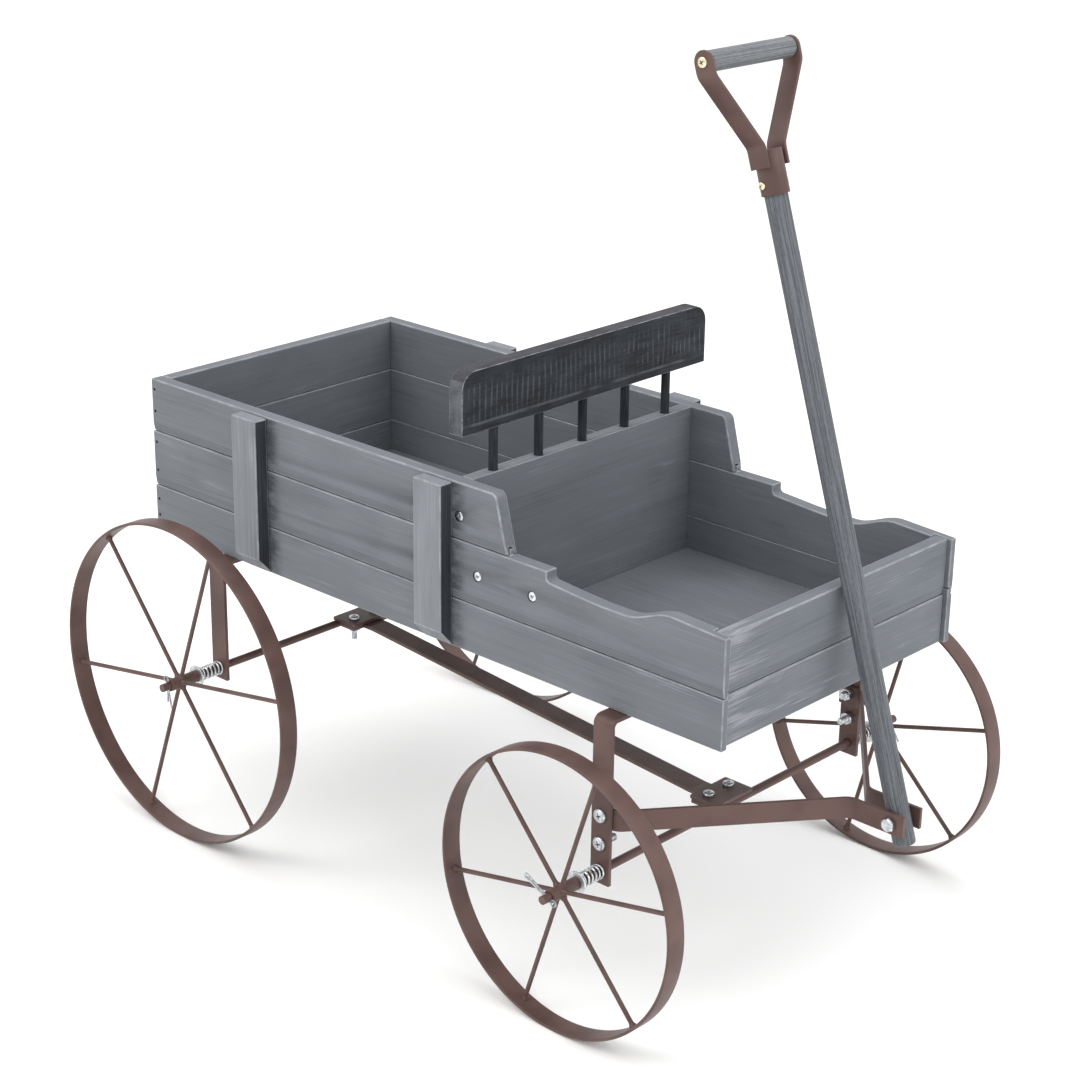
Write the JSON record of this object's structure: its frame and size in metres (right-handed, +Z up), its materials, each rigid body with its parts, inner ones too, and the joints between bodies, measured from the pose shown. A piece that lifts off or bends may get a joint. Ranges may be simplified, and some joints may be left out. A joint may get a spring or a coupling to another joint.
{
  "type": "garden wagon planter",
  "caption": "Decorative plank wagon planter on spoked hoop wheels that turn, with a seat back rail and a hinged pull handle with a D grip.",
  "frame": {"origin": "on the floor, under the middle of the whole object's box", "axes": "+X the way the wagon is pulled, +Y its left side, +Z up"},
  "size_m": [0.6169, 0.3592, 0.5805],
  "materials": {
    "grey_washed_wood": "matt grey wash with worn pale edges",
    "dark_seat_wood": "matt near-black stain",
    "handle_wood": "matt grey-blue wash with long grain",
    "brown_painted_iron": "satin dark brown powder coat",
    "zinc_steel": "bright zinc plate",
    "brass_screws": "yellow passivated"
  },
  "bodies": {
    "chassis": {"divider_panel": "grey_washed_wood", "drawbar_left": "brown_painted_iron", "drawbar_right": "brown_painted_iron", "front_axle": "brown_painted_iron", "front_batten_left": "grey_washed_wood", "front_batten_right": "grey_washed_wood", "front_bracket": "brown_painted_iron", "front_floor": "grey_washed_wood", "front_left_cotter_pin": "zinc_steel", "front_left_spring": "zinc_steel", "front_left_washer": "zinc_steel", "front_plank_bottom": "grey_washed_wood", "front_plank_top": "grey_washed_wood", "front_reach_bolt_left": "zinc_steel", "front_reach_bolt_right": "zinc_steel", "front_right_cotter_pin": "zinc_steel", "front_right_spring": "zinc_steel", "front_right_washer": "zinc_steel", "hinge_bolt": "zinc_steel", "hinge_nut": "zinc_steel", "reach_bar": "brown_painted_iron", "rear_axle": "brown_painted_iron", "rear_batten_left": "grey_washed_wood", "rear_batten_right": "grey_washed_wood", "rear_bracket": "brown_painted_iron", "rear_floor": "grey_washed_wood", "rear_left_cotter_pin": "zinc_steel", "rear_left_spring": "zinc_steel", "rear_left_washer": "zinc_steel", "rear_plank_bottom": "grey_washed_wood", "rear_plank_middle": "grey_washed_wood", "rear_plank_top": "grey_washed_wood", "rear_reach_bolt_left": "zinc_steel", "rear_reach_bolt_right": "zinc_steel", "rear_right_cotter_pin": "zinc_steel", "rear_right_spring": "zinc_steel", "rear_right_washer": "zinc_steel", "seat_back_rail": "dark_seat_wood", "seat_post_1": "dark_seat_wood", "seat_post_2": "dark_seat_wood", "seat_post_3": "dark_seat_wood", "seat_post_4": "dark_seat_wood", "seat_post_5": "dark_seat_wood", "side_plank_left_bottom": "grey_washed_wood", "side_plank_left_middle": "grey_washed_wood", "side_plank_left_top": "grey_washed_wood", "side_plank_right_bottom": "grey_washed_wood", "side_plank_right_middle": "grey_washed_wood", "side_plank_right_top": "grey_washed_wood"},
    "rear_right_wheel": {"rear_right_rim": "brown_painted_iron", "rear_right_hub_and_spokes": "brown_painted_iron"},
    "rear_left_wheel": {"rear_left_rim": "brown_painted_iron", "rear_left_hub_and_spokes": "brown_painted_iron"},
    "front_right_wheel": {"front_right_rim": "brown_painted_iron", "front_right_hub_and_spokes": "brown_painted_iron"},
    "front_left_wheel": {"front_left_rim": "brown_painted_iron", "front_left_hub_and_spokes": "brown_painted_iron"},
    "handle": {"handle_pole": "handle_wood", "grip_fork": "brown_painted_iron", "grip_bar": "handle_wood"}
  },
  "joints": [
    {"name": "rear_right_wheel_spin", "type": "hinge", "parent": "chassis", "child": "rear_right_wheel", "pos_m": [-0.1925, -0.1648, 0.116], "axis": [0, 1, 0], "continuous": true},
    {"name": "rear_left_wheel_spin", "type": "hinge", "parent": "chassis", "child": "rear_left_wheel", "pos_m": [-0.1925, 0.1648, 0.116], "axis": [0, 1, 0], "continuous": true},
    {"name": "front_right_wheel_spin", "type": "hinge", "parent": "chassis", "child": "front_right_wheel", "pos_m": [0.1675, -0.1648, 0.093], "axis": [0, 1, 0], "continuous": true},
    {"name": "front_left_wheel_spin", "type": "hinge", "parent": "chassis", "child": "front_left_wheel", "pos_m": [0.1675, 0.1648, 0.093], "axis": [0, 1, 0], "continuous": true},
    {"name": "handle_tilt", "type": "hinge", "parent": "chassis", "child": "handle", "pos_m": [0.297, 0, 0.129], "axis": [0, 1, 0], "range_deg": [0, 118]}
  ]
}
